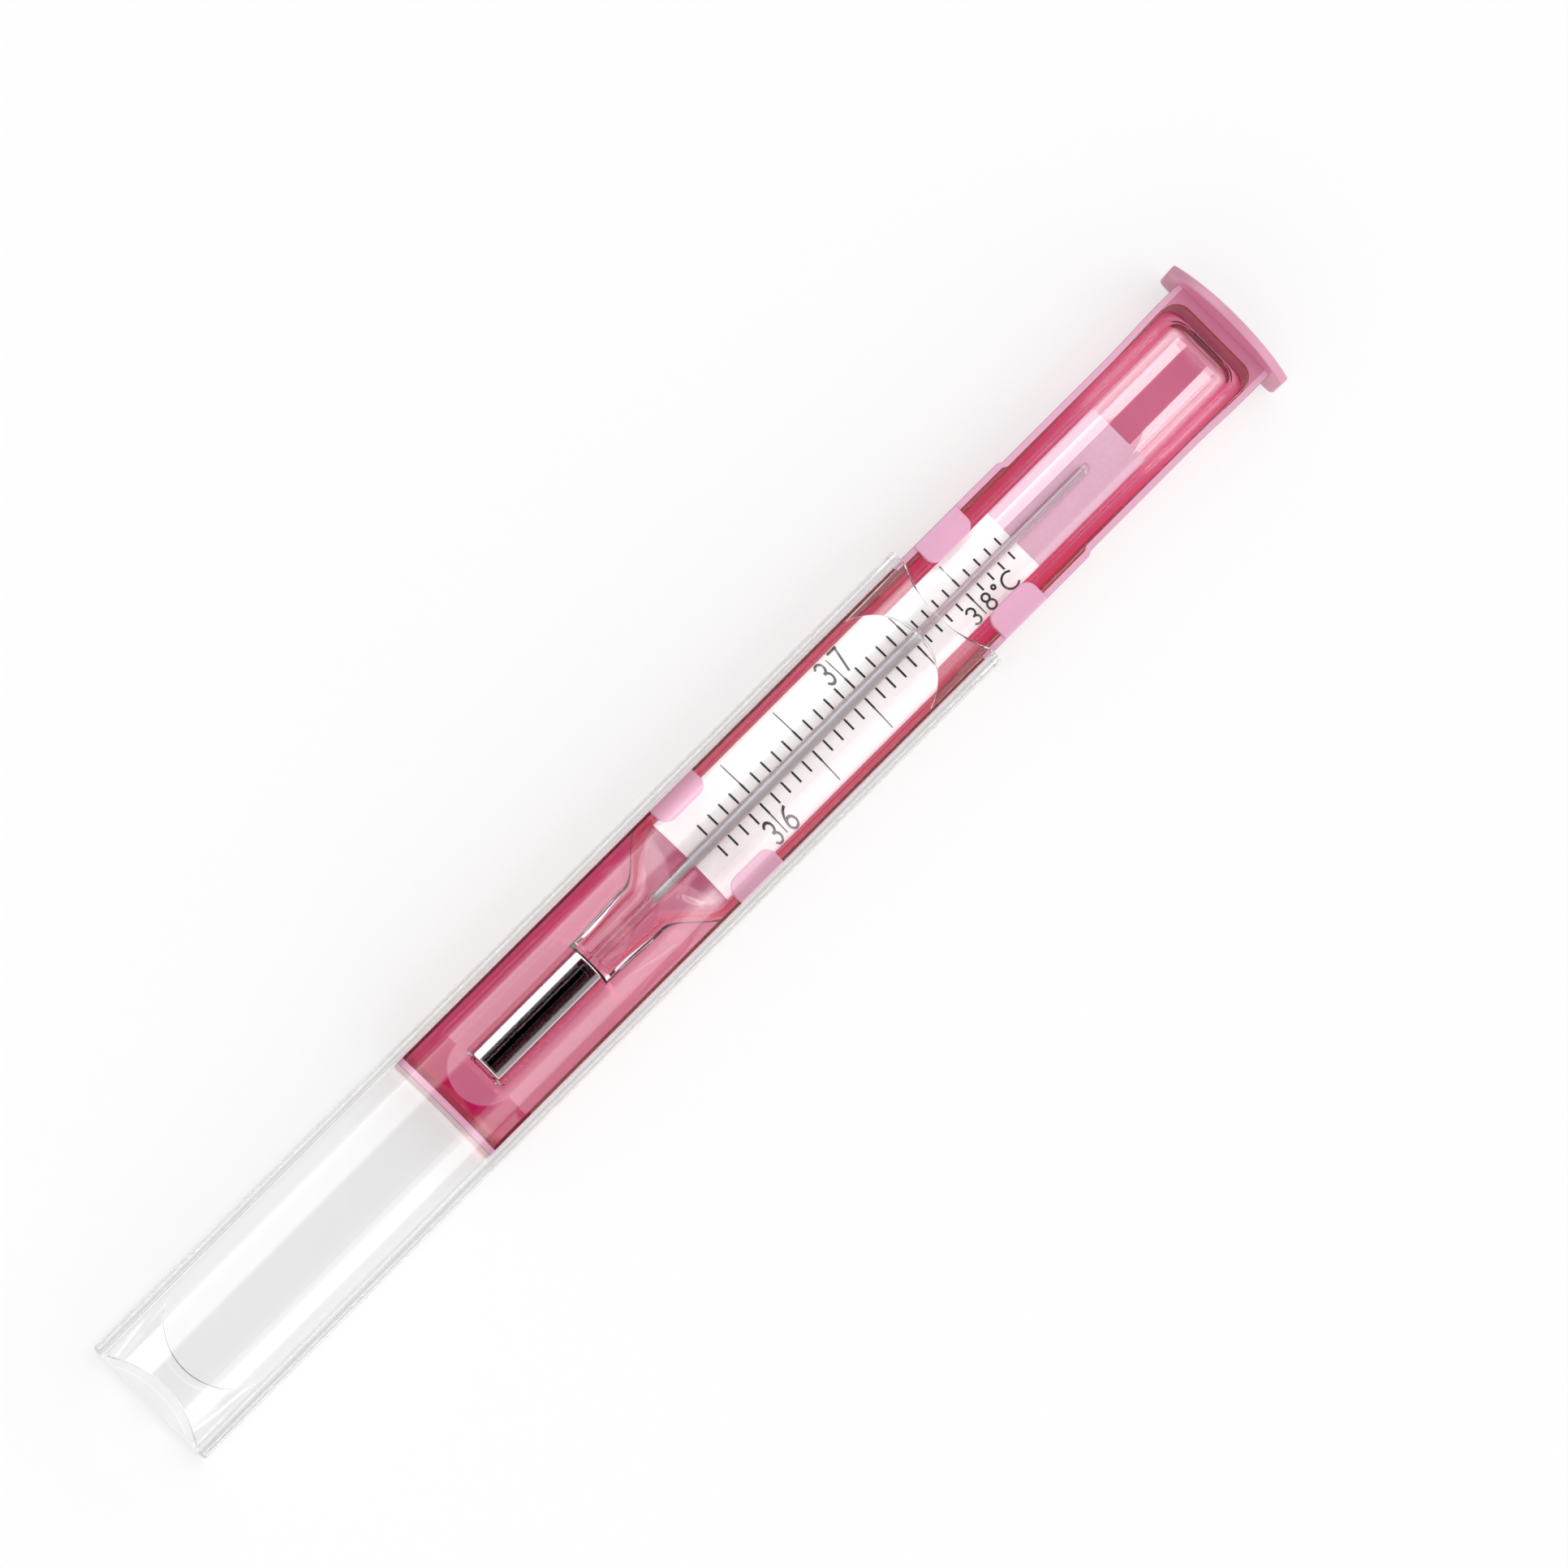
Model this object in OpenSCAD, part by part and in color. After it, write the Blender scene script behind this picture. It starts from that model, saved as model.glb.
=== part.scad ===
// Fever thermometer in a slide case. An oval glass thermometer is clipped into a pink carrier, and the carrier
// slides in a clear sleeve whose top wall is a long magnifying lens.
// +X runs along the case towards the pull flange, +Z is up, and the sleeve's flat base lies on z = 0.

/* [Glass] */
// Length of the thermometer from the bulb's tip to the top of the glass
glass_l = 123.7; // [113:0.1:133]
// Width of the oval glass
glass_w = 11; // [10:0.1:12.5]
// Thickness of the oval glass
glass_t = 5.2; // [5:0.1:6.2]
// Wall of the glass sheath
glass_wall = 0.7; // [0.5:0.05:0.8]
// Squareness of the oval, where 2 is an ellipse
oval_power = 2.4; // [2:0.1:3]
// Length of the neck between the bulb and the shoulder
neck_l = 8.3; // [6:0.1:11]
// How much wider the neck is than the bulb, on each side
neck_swell = 0.2; // [0.1:0.05:0.4]
// Length of the shoulder between the neck and the oval
shoulder_l = 7; // [5:0.5:10]
// Half thickness that is left flat at the glass's top end
dome_flat = 0.3; // [0.2:0.05:0.6]

/* [Bulb] */
// Outer diameter of the bulb
bulb_d = 3.8; // [3.6:0.1:4.6]
// Length of the bulb, with its top wall
bulb_l = 18.9; // [13:0.1:22]
// Wall of the bulb
bulb_wall = 0.35; // [0.25:0.05:0.5]
// Thickness of the glass at the bulb's tip
bulb_tip_wall = 0.45; // [0.3:0.05:0.8]
// Thickness of the glass at the bulb's top
bulb_top_wall = 0.8; // [0.5:0.1:1.5]
// Radius of the bulb's lower edge
bulb_edge_r = 1; // [0.6:0.1:1.4]

/* [Capillary] */
// Diameter of the capillary rod
rod_d = 1.2; // [1:0.1:1.4]
// Diameter of its bore
bore_d = 0.56; // [0.4:0.02:0.8]
// Space between the rod and the front of the glass
rod_front_gap = 1.19; // [0.9:0.01:1.4]
// Space between the rod and the strip behind it
rod_back_gap = 0.06; // [0.05:0.01:0.15]
// Length of solid glass that seals the rod's tip
rod_seal = 0.9; // [0.5:0.1:2]
// How far the rod's tip stays below the strip's upper end
rod_short = 5.4; // [3:0.1:10]
// Space between the metal and the glass round it
metal_gap = 0.02; // [0.01:0.01:0.04]
// Diameter of the constriction pin
pin_d = 0.36; // [0.2:0.02:0.36]
// Height of the thread's lower end over the bulb
thread_start = 10.2; // [8:0.1:12]
// Space between the pin's top and the thread
pin_gap = 0.4; // [0.2:0.1:1]

/* [Scale] */
// Thickness of the scale strip
plate_t = 0.3; // [0.2:0.05:0.4]
// Space between the strip's edge and the glass
plate_side_gap = 0.08; // [0.04:0.01:0.2]
// Space between the shoulder and the strip's lower end
plate_low_gap = 1; // [0.5:0.1:2]
// Space between the strip's upper end and the top of the glass
plate_top_gap = 15.2; // [8:0.1:18]
// Length of the bare colour field on the strip's upper end
field_l = 18.2; // [15:0.1:19]
// Thickness of the print
ink_t = 0.04; // [0.02:0.01:0.05]
// Distance from the strip's lower end to the lowest mark
scale_start = 3.6; // [2:0.1:4]
// Distance from the highest mark to the colour field
scale_end = 1.52; // [0.5:0.01:3]
// Lowest mark in degrees
scale_low = 35.6; // [35.5:0.1:35.9]
// Highest mark in degrees
scale_high = 38.4; // [38.1:0.1:38.4]
// Reading of the thread in degrees
reading = 37.6; // [35.7:0.05:38.3]
// Width of a short mark
mark_w = 0.26; // [0.15:0.01:0.4]
// Width of a long mark
long_mark_w = 0.15; // [0.1:0.01:0.2]
// Distance of the marks' inner ends from the centre line
mark_inner = 0.6; // [0.4:0.05:0.8]
// Distance of the short marks' outer ends from the centre line
mark_outer = 1.75; // [1.4:0.05:1.8]
// Distance of the long marks' outer ends from the strip's edge
long_mark_edge = 0.5; // [0.2:0.05:1]
// Space between the numerals and the strip's edge
numeral_edge = 0.1; // [0.05:0.05:0.4]
// Width of the pen that draws the numerals
numeral_pen = 0.28; // [0.2:0.01:0.32]
// Space between the short marks and the numerals
numeral_gap = 0.15; // [0.1:0.05:0.3]
// Distance between the middles of two numerals
numeral_pitch = 2.6; // [2.4:0.1:3]

/* [Carrier] */
// Thickness of the carrier's side walls at the clips
carrier_wall = 1.3; // [0.9:0.05:1.6]
// Thickness of the carrier's floor
carrier_floor = 0.8; // [0.6:0.1:1.2]
// Space between the glass and the side walls
side_gap = 1; // [0.6:0.1:1.5]
// Space between the glass and the floor
seat_gap = 0.1; // [0.05:0.05:0.2]
// Space between the bulb's tip and the end wall
tip_gap = 5.6; // [3:0.1:9]
// Space between the top of the glass and the trough's upper end
top_gap = 0.8; // [0.6:0.1:2.5]
// Thickness of the wall between the trough and the flange
flange_wall = 1.5; // [0.6:0.1:2]
// Thickness of the end wall at its top
end_wall = 0.9; // [0.7:0.1:1.5]
// How far the end wall's inner face leans in at the floor
end_lean = 2; // [0.5:0.1:3]
// Radius of the trough's lower corners
trough_r = 3; // [1:0.1:3.4]
// Radius of the trough's upper end, seen from above
trough_end_r = 2.2; // [1:0.1:3]
// Radius of the carrier's lower edges
carrier_edge_r = 1; // [0.6:0.1:1.4]
// How far the walls step in above the upper clips
waist_in = 0.35; // [0.1:0.05:0.5]
// How far the walls still stand in where they meet the flange
flange_in = 0.1; // [0:0.05:0.1]
// Distance from the flange to the start of the waist
waist_from = 31.2; // [28:0.1:33]
// Distance from the flange to the end of the waist
waist_to = 13.5; // [10:0.1:18]
// Distance from the flange to the end of the flare
flare_to = 3; // [1:0.1:6]

/* [Clips] */
// Length of a clip
clip_l = 7.1; // [5:0.1:9]
// How far a clip reaches over the glass
clip_reach = 1.2; // [0.6:0.1:1.6]
// Height of the clips over the glass
clip_rise = 0.4; // [0.2:0.05:0.6]
// Space between a clip's tip and the glass
clip_gap = 0.12; // [0.05:0.01:0.2]
// Radius of a clip's corners
clip_r = 1.5; // [0.5:0.1:2]
// Distance from the flange to the middle of the upper clips
clip_upper = 41.9; // [38:0.1:46]
// Distance from the flange to the middle of the lower clips
clip_lower = 86.8; // [60:0.1:90]

/* [Flange] */
// Thickness of the pull flange
flange_t = 1.2; // [0.8:0.1:2]
// How far the flange stands out past the sleeve's sides
flange_lip = 0.4; // [0.2:0.05:1]
// How far the flange stands over the lens
flange_rise = 0.6; // [0.2:0.05:1]
// Height of the flange over the table
flange_lift = 0.25; // [0.2:0.05:0.5]
// How far the flange's straight sides end below the sleeve's shoulders
flange_side_drop = 0.9; // [0.2:0.1:2]
// Radius of the flange's lower corners
flange_corner_r = 1.2; // [0.5:0.1:2]

/* [Sleeve] */
// Thickness of the sleeve's side walls
sleeve_wall = 1.05; // [1:0.05:2]
// Thickness of the sleeve's base
sleeve_floor = 1; // [0.8:0.05:1.6]
// Thickness of the sleeve's top wall beside the lens and past its ends
sleeve_roof = 0.9; // [0.7:0.05:1.4]
// Space between the carrier's sides and the sleeve
slide_gap = 0.35; // [0.35:0.05:0.6]
// Space under the carrier
float_gap = 0.2; // [0.15:0.05:0.4]
// Space over the clips
roof_gap = 0.3; // [0.2:0.05:0.6]
// How much longer the sleeve is than the carrier
end_recess = 0.5; // [0.5:0.1:3]
// Radius of the sleeve's outer edges
sleeve_edge_r = 1; // [0.4:0.1:1.2]
// Radius of the sleeve's inner edges
hollow_r = 0.5; // [0.2:0.1:0.6]
// Width of the flat beside the arched top
lens_margin = 1.8; // [1.4:0.1:2.5]
// Height of the arched top over the top wall's sides
lens_h = 2.8; // [1.5:0.1:3.5]
// Distance from the sleeve's ends to the lens
lens_inset = 5.2; // [4:0.1:10]
// Depth of the thumb notches
notch_d = 2.2; // [1:0.1:3]
// Distance from the sleeve's sides to the thumb notches
notch_margin = 2; // [1.8:0.1:4]
// How far the carrier is drawn out
drawn_out = 47.8; // [10:0.1:120]

/* [Hidden] */

// Fineness of round surfaces, of arcs in an outline and of the blown glass
round_fn = 48;
arc_steps = 8;
loft_sides = 40;
shoulder_steps = 10;
flare_steps = 4;
dome_steps = 7;
stroke_steps = 24;
// Overlap that makes a cut or a joint clean
bite = 0.5;

// Lengths and places along the case
carrier_l = flange_wall + top_gap + glass_l + tip_gap + end_wall;
sleeve_l = carrier_l + end_recess;
mouth_x = sleeve_l / 2;
flange_x = mouth_x + drawn_out;
carrier_x = flange_x - carrier_l;
trough_top_x = flange_x - flange_wall;
trough_low_x = carrier_x + end_wall;
glass_top_x = trough_top_x - top_gap;
tip_x = glass_top_x - glass_l;
bulb_top_x = tip_x + bulb_l;
shoulder_x = bulb_top_x + neck_l;
body_x = shoulder_x + shoulder_l;
dome_r = glass_t / 2 - dome_flat;
plate_low_x = body_x + plate_low_gap;
plate_top_x = glass_top_x - plate_top_gap;
rod_top_x = plate_top_x - rod_short;
thread_low_x = bulb_top_x + thread_start;
pin_top_x = thread_low_x - pin_gap;

// Widths across the case
trough_w = glass_w + 2 * side_gap;
carrier_w = trough_w + 2 * carrier_wall;
hollow_w = carrier_w + 2 * slide_gap;
sleeve_w = hollow_w + 2 * sleeve_wall;
lens_w = sleeve_w - 2 * lens_margin;
notch_w = sleeve_w - 2 * notch_margin;
flange_w = sleeve_w + 2 * flange_lip;
clip_tip_y = glass_w / 2 - clip_reach;

// Heights over the table
carrier_z = sleeve_floor + float_gap;
trough_z = carrier_z + carrier_floor;
glass_z = trough_z + seat_gap;
glass_mid_z = glass_z + glass_t / 2;
glass_top_z = glass_z + glass_t;
clip_top_z = glass_top_z + clip_rise;
hollow_top_z = clip_top_z + roof_gap;
roof_z = hollow_top_z + sleeve_roof;
lens_top_z = roof_z + lens_h;
rod_z = glass_mid_z + glass_t / 2 - glass_wall - rod_front_gap - rod_d / 2;
plate_z = rod_z - rod_d / 2 - rod_back_gap;
plate_back_z = plate_z - plate_t;
clip_z = glass_mid_z + oval_rise(clip_tip_y, glass_w / 2, glass_t / 2, oval_power) + clip_gap;
flange_side_z = roof_z - flange_side_drop;
flange_top_z = lens_top_z + flange_rise;

// The strip is as wide as the inside of the glass at the strip's back
plate_w = 2 * oval_rise(glass_mid_z - plate_back_z, glass_t / 2 - glass_wall, glass_w / 2 - glass_wall, oval_power)
    - 2 * plate_side_gap;

// Steps of the scale in degrees
tenth = 0.1;
half_degree = 0.5;

// The scale fills the strip between its margins, along and across
degree_l = (plate_top_x - field_l - scale_end - plate_low_x - scale_start) / (scale_high - scale_low);
long_mark_outer = plate_w / 2 - long_mark_edge;
numeral_base = mark_outer + numeral_gap;
numeral_h = plate_w / 2 - numeral_edge - numeral_base;

// Round parts of the numerals and the degree sign, and the angles at which their strokes end
big_bowl_r = numeral_h * 0.3;
sign_r = numeral_h * 0.16;
three_tip = 160;
three_waist = 100;
six_tip = 105;
six_foot = 185;
letter_gap = 45;
// Places of the degree sign and its letter after the highest numeral, in pitches of the numerals
sign_place = 1.1;
letter_place = 1.9;

// Radii of the lens and the notches, from their chord and height
lens_r = chord_radius(lens_w, lens_h);
notch_r = chord_radius(notch_w, notch_d);
flange_r = chord_radius(flange_w, flange_top_z - flange_side_z);

function chord_radius(chord, rise) = (chord * chord / 4 + rise * rise) / (2 * rise);
// Half height of an oval at a distance from its middle
function oval_rise(at, half_w, half_h, power) = half_h * pow(1 - pow(abs(at) / half_w, power), 1 / power);
function smooth(t) = t * t * (3 - 2 * t);
function signed_pow(v, p) = sign(v) * pow(abs(v), p);
function arc(middle, r, from, to, steps = arc_steps) =
    [for (i = [0:steps]) let (a = from + (to - from) * i / steps) middle + r * [cos(a), sin(a)]];
function degree_x(value) = plate_low_x + scale_start + (value - scale_low) * degree_l;

// Outline of a box with round corners, given by its lowest and highest corners
function round_box(low, high, r) = concat(
    arc([high.x - r, high.y - r], r, 0, 90),
    arc([low.x + r, high.y - r], r, 90, 180),
    arc([low.x + r, low.y + r], r, 180, 270),
    arc([high.x - r, low.y + r], r, 270, 360));

// Draws an outline in Y and Z and runs it along X
module along_x(from, to) {
    translate([from, 0, 0]) rotate([90, 0, 90]) linear_extrude(to - from) children();
}

// Turns a profile of radius and length round the capillary's axis
module turned(from) {
    translate([from, 0, rod_z]) rotate([0, 90, 0]) rotate_extrude($fn = round_fn) children();
}

// A plain rod on the capillary's axis
module axle(from, to, d) {
    translate([from, 0, rod_z]) rotate([0, 90, 0]) cylinder(h = to - from, d = d, $fn = round_fn);
}

// Half outline of a bulb with a round lower edge
module bulb_profile(r, l, edge_r) {
    polygon(concat([[0, l], [0, 0]], arc([r - edge_r, edge_r], edge_r, -90, 0), [[r, l]]));
}

// The part of a cylinder round the axis of the sleeve's arched top that stands over a height
module arch(half_l, r, low_z) {
    intersection() {
        translate([-half_l, 0, lens_top_z - lens_r]) rotate([0, 90, 0])
            cylinder(h = 2 * half_l, r = r, $fn = 2 * round_fn);
        translate([-half_l, -sleeve_w / 2, low_z]) cube([2 * half_l, sleeve_w, lens_top_z]);
    }
}

// The space under the arched top past the lens's round ends, where the top wall is thin
module end_vaults() {
    reach = mouth_x - lens_inset - lens_w / 2;
    difference() {
        arch(mouth_x + bite, lens_r - sleeve_roof, hollow_top_z - bite);
        for (end = [-1, 1])
            translate([end * reach, 0, 0]) cylinder(h = lens_top_z, d = lens_w, $fn = 2 * round_fn);
        translate([-reach, -lens_w / 2, 0]) cube([2 * reach, lens_w, lens_top_z]);
    }
}

module sleeve() {
    color([0.93, 0.94, 0.94, 0.4]) difference() {
        union() {
            along_x(-mouth_x, mouth_x)
                polygon(round_box([-sleeve_w / 2, 0], [sleeve_w / 2, roof_z], sleeve_edge_r));
            arch(mouth_x, lens_r, roof_z - bite);
        }
        along_x(-mouth_x - bite, mouth_x + bite)
            polygon(round_box([-hollow_w / 2, sleeve_floor], [hollow_w / 2, hollow_top_z], hollow_r));
        end_vaults();
        for (end = [-1, 1])
            translate([end * (mouth_x + notch_r - notch_d), 0, glass_mid_z])
                cylinder(h = lens_top_z, r = notch_r, $fn = 2 * round_fn);
    }
}

// Outline of the carrier from above, with its waist and its flare
module carrier_plan() {
    half = carrier_w / 2;
    waist_x = flange_x - waist_from;
    edge = [
        [carrier_x, half], [waist_x, half], [waist_x + waist_in, half - waist_in],
        [flange_x - waist_to, half - waist_in], [flange_x - flare_to, half - flange_in],
        [flange_x + bite, half - flange_in]];
    last = len(edge) - 1;
    polygon(concat(edge, [for (i = [0:last]) [edge[last - i].x, -edge[last - i].y]]));
}

// The space in the carrier that the glass lies in, open to the top: its section, its plan and its side view meet
module trough() {
    high_z = clip_top_z + 4 * bite;
    intersection() {
        along_x(trough_low_x, trough_top_x)
            polygon(round_box([-trough_w / 2, trough_z], [trough_w / 2, high_z + trough_r], trough_r));
        translate([0, 0, carrier_z]) linear_extrude(high_z - carrier_z)
            polygon(concat(
                [[trough_low_x, -trough_w / 2]],
                arc([trough_top_x - trough_end_r, -trough_w / 2 + trough_end_r], trough_end_r, -90, 0),
                arc([trough_top_x - trough_end_r, trough_w / 2 - trough_end_r], trough_end_r, 0, 90),
                [[trough_low_x, trough_w / 2]]));
        rotate([90, 0, 0]) linear_extrude(2 * trough_w, center = true)
            polygon([
                [trough_low_x, high_z], [trough_low_x, glass_top_z], [trough_low_x + end_lean, trough_z],
                [trough_top_x, trough_z], [trough_top_x, high_z]]);
    }
}

// One clip tab, from the carrier's side to its tip over the glass
module clip(middle_x, side) {
    half = carrier_w / 2;
    translate([middle_x, 0, clip_z]) linear_extrude(clip_top_z - clip_z)
        polygon(concat(
            [[-clip_l / 2, side * half]],
            arc([-clip_l / 2 + clip_r, side * (clip_tip_y + clip_r)], clip_r, 180, 180 + side * 90),
            arc([clip_l / 2 - clip_r, side * (clip_tip_y + clip_r)], clip_r, -side * 90, 0),
            [[clip_l / 2, side * half]]));
}

// The D-shaped plate that is pulled, the same outline as the sleeve and a little larger
module pull_flange() {
    along_x(flange_x, flange_x + flange_t) intersection() {
        polygon(round_box([-flange_w / 2, flange_lift], [flange_w / 2, flange_top_z + 2 * flange_corner_r],
            flange_corner_r));
        translate([0, flange_top_z - flange_r]) circle(r = flange_r, $fn = 2 * round_fn);
    }
}

module carrier() {
    color([0.86, 0.45, 0.58, 0.7]) {
        difference() {
            intersection() {
                translate([0, 0, carrier_z]) linear_extrude(glass_top_z - carrier_z) carrier_plan();
                along_x(carrier_x - bite, flange_x + bite)
                    polygon(round_box([-carrier_w / 2, carrier_z],
                        [carrier_w / 2, glass_top_z + 2 * carrier_edge_r], carrier_edge_r));
            }
            trough();
        }
        for (from_flange = [clip_upper, clip_lower], side = [-1, 1])
            clip(flange_x - from_flange, side);
        pull_flange();
    }
}

// One ring of the blown glass: an oval round a middle height
function oval_ring(x, half_w, half_h, mid_z, power) = [
    for (i = [0:loft_sides - 1])
        let (a = 360 * i / loft_sides)
        [x, half_w * signed_pow(cos(a), 2 / power), mid_z + half_h * signed_pow(sin(a), 2 / power)]];

// The blown glass from the bulb to the dome, moved in by a wall: neck, shoulder, oval body and round top
function sheath_rings(wall, low_x) = let (
    low_r = bulb_d / 2 - wall,
    neck_r = bulb_d / 2 + neck_swell - wall,
    body_w = glass_w / 2 - wall,
    body_h = glass_t / 2 - wall,
    top_r = dome_r - wall,
    dome_x = glass_top_x - dome_r) concat(
    [oval_ring(low_x, low_r, low_r, rod_z, 2)],
    [for (i = [1:flare_steps]) let (t = i / flare_steps, r = low_r + (neck_r - low_r) * smooth(t))
        oval_ring(bulb_top_x + t * neck_l / 2, r, r, rod_z, 2)],
    [for (i = [0:shoulder_steps]) let (t = i / shoulder_steps, s = smooth(t))
        oval_ring(shoulder_x + t * shoulder_l, neck_r + (body_w - neck_r) * s, neck_r + (body_h - neck_r) * s,
            rod_z + (glass_mid_z - rod_z) * s, 2 + (oval_power - 2) * s)],
    [for (i = [0:dome_steps]) let (a = 90 * i / dome_steps, in = top_r * (1 - cos(a)))
        oval_ring(dome_x + top_r * sin(a), body_w - in, body_h - in, glass_mid_z, oval_power)]);

// A closed skin over a row of rings
module skin(rings) {
    n = loft_sides;
    last = len(rings) - 1;
    sides = [for (j = [0:last - 1], i = [0:n - 1])
        let (a = j * n + i, b = j * n + (i + 1) % n)
        each [[a, b + n, b], [a, a + n, b + n]]];
    polyhedron(
        points = [for (ring = rings) each ring],
        faces = concat(sides, [[for (i = [0:n - 1]) i]], [[for (i = [0:n - 1]) last * n + n - 1 - i]]));
}

module sheath_glass() {
    color([0.9, 0.93, 0.94, 0.35]) difference() {
        skin(sheath_rings(0, bulb_top_x));
        skin(sheath_rings(glass_wall, bulb_top_x - bite));
    }
}

module bulb_glass() {
    cavity_r = bulb_d / 2 - bulb_wall;
    color([0.9, 0.93, 0.94, 0.35]) difference() {
        turned(tip_x) bulb_profile(bulb_d / 2, bulb_l, bulb_edge_r);
        turned(tip_x + bulb_tip_wall)
            bulb_profile(cavity_r, bulb_l - bulb_tip_wall - bulb_top_wall, bulb_edge_r - bulb_wall);
        axle(bulb_top_x - 2 * bulb_top_wall, bulb_top_x + bite, bore_d);
    }
}

module reservoir_metal() {
    metal_r = bulb_d / 2 - bulb_wall - metal_gap;
    low_x = tip_x + bulb_tip_wall + metal_gap;
    color([0.78, 0.79, 0.8]) difference() {
        turned(low_x)
            bulb_profile(metal_r, bulb_top_x - bulb_top_wall - metal_gap - low_x, bulb_edge_r - bulb_wall);
        axle(tip_x, bulb_top_x, pin_d + 2 * metal_gap);
    }
}

module constriction_pin() {
    color([0.85, 0.88, 0.9, 0.5]) axle(tip_x + bulb_tip_wall, pin_top_x, pin_d);
}

module capillary_tube() {
    color([0.9, 0.92, 0.94, 0.35]) difference() {
        turned(bulb_top_x) polygon(
            concat([[0, 0], [rod_d / 2, 0]], arc([0, rod_top_x - bulb_top_x - rod_d / 2], rod_d / 2, 0, 90)));
        axle(bulb_top_x - bite, rod_top_x - rod_seal, bore_d);
    }
}

module metal_thread() {
    r = bore_d / 2 - metal_gap;
    color([0.7, 0.71, 0.72]) turned(thread_low_x)
        polygon(concat([[0, 0], [r, 0]], arc([0, degree_x(reading) - thread_low_x - r], r, 0, 90)));
}

module scale_plate() {
    color([0.97, 0.97, 0.96]) translate([plate_low_x, -plate_w / 2, plate_back_z])
        cube([plate_top_x - plate_low_x, plate_w, plate_t]);
}

// A patch of print on the strip, between two corners
module print_box(low, high) {
    translate([low.x, low.y, plate_z]) cube([high.x - low.x, high.y - low.y, ink_t]);
}

module colour_field() {
    color([0.88, 0.68, 0.78])
        print_box([plate_top_x - field_l, -plate_w / 2], [plate_top_x, plate_w / 2]);
}

// A row of marks on one side of the capillary, in even steps of a degree up to the highest mark
module marks(first, step, w, inner, outer, side) {
    y = side * (inner + outer) / 2;
    half = (outer - inner) / 2;
    for (value = [first:step:scale_high + tenth / 2]) {
        x = degree_x(value);
        print_box([x - w / 2, y - half], [x + w / 2, y + half]);
    }
}

// A thick mark at every tenth of a degree
module short_marks(side) {
    marks(scale_low, tenth, mark_w, mark_inner, mark_outer, side);
}

// A thin line that carries the mark on at every half degree
module long_marks(side) {
    first = ceil(scale_low / half_degree) * half_degree;
    marks(first, half_degree, long_mark_w, mark_outer, long_mark_outer, side);
}

module short_marks_left() {
    color([0.15, 0.15, 0.16]) short_marks(1);
}

module short_marks_right() {
    color([0.15, 0.15, 0.16]) short_marks(-1);
}

module long_marks_left() {
    color([0.15, 0.15, 0.16]) long_marks(1);
}

module long_marks_right() {
    color([0.15, 0.15, 0.16]) long_marks(-1);
}

// Pen strokes: a ring round a middle, part of such a ring, and a bar between two points
module ring_stroke(middle, r) {
    translate(middle) difference() {
        circle(r = r, $fn = round_fn);
        circle(r = r - numeral_pen, $fn = round_fn);
    }
}

module arc_stroke(middle, r, from, to) {
    polygon(concat(
        arc(middle, r, from, to, stroke_steps),
        arc(middle, r - numeral_pen, to, from, stroke_steps)));
}

module bar_stroke(start, end) {
    way = (end - start) / norm(end - start);
    side = numeral_pen / 2 * [-way.y, way.x];
    polygon([start - side, end - side, end + side, start + side]);
}

// The numerals, drawn round x = 0 with their foot on y = 0
module numeral_3() {
    bowl_r = (numeral_h + numeral_pen) / 4;
    arc_stroke([0, numeral_h - bowl_r], bowl_r, -three_waist, three_tip);
    arc_stroke([0, bowl_r], bowl_r, -three_tip, three_waist);
}

module numeral_6() {
    stem_r = numeral_h - big_bowl_r;
    ring_stroke([0, big_bowl_r], big_bowl_r);
    arc_stroke([stem_r - big_bowl_r, big_bowl_r], stem_r, six_tip, six_foot);
}

module numeral_7() {
    top = numeral_h - numeral_pen / 2;
    bar_stroke([-big_bowl_r, top], [big_bowl_r, top]);
    bar_stroke([big_bowl_r - numeral_pen / 2, numeral_h], [-big_bowl_r / 3, 0]);
}

module numeral_8() {
    top_r = (numeral_h + numeral_pen) / 2 - big_bowl_r;
    ring_stroke([0, big_bowl_r], big_bowl_r);
    ring_stroke([0, numeral_h - top_r], top_r);
}

// Sets print at a degree, on the left (1) or right (-1) of the capillary
module at_degree(value, side, shift) {
    foot = side > 0 ? numeral_base : -numeral_base - numeral_h;
    translate([degree_x(value) + shift, foot, plate_z]) linear_extrude(ink_t) children();
}

module numerals() {
    color([0.15, 0.15, 0.16]) {
        for (label = [[36, -1], [37, 1], [38, -1]])
            at_degree(label[0], label[1], -numeral_pitch / 2) numeral_3();
        at_degree(36, -1, numeral_pitch / 2) numeral_6();
        at_degree(37, 1, numeral_pitch / 2) numeral_7();
        at_degree(38, -1, numeral_pitch / 2) numeral_8();
    }
}

// The degree sign and its C, after the highest numeral
module unit_mark() {
    letter_r = numeral_h / 2;
    color([0.15, 0.15, 0.16]) {
        at_degree(38, -1, numeral_pitch * sign_place) ring_stroke([0, numeral_h - sign_r], sign_r);
        at_degree(38, -1, numeral_pitch * letter_place)
            arc_stroke([0, letter_r], letter_r, letter_gap, 360 - letter_gap);
    }
}

sleeve();
carrier();
sheath_glass();
bulb_glass();
reservoir_metal();
constriction_pin();
capillary_tube();
metal_thread();
scale_plate();
colour_field();
short_marks_left();
short_marks_right();
long_marks_left();
long_marks_right();
numerals();
unit_mark();
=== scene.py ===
import math

import bmesh
import bpy
from mathutils import Matrix, Vector


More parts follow.
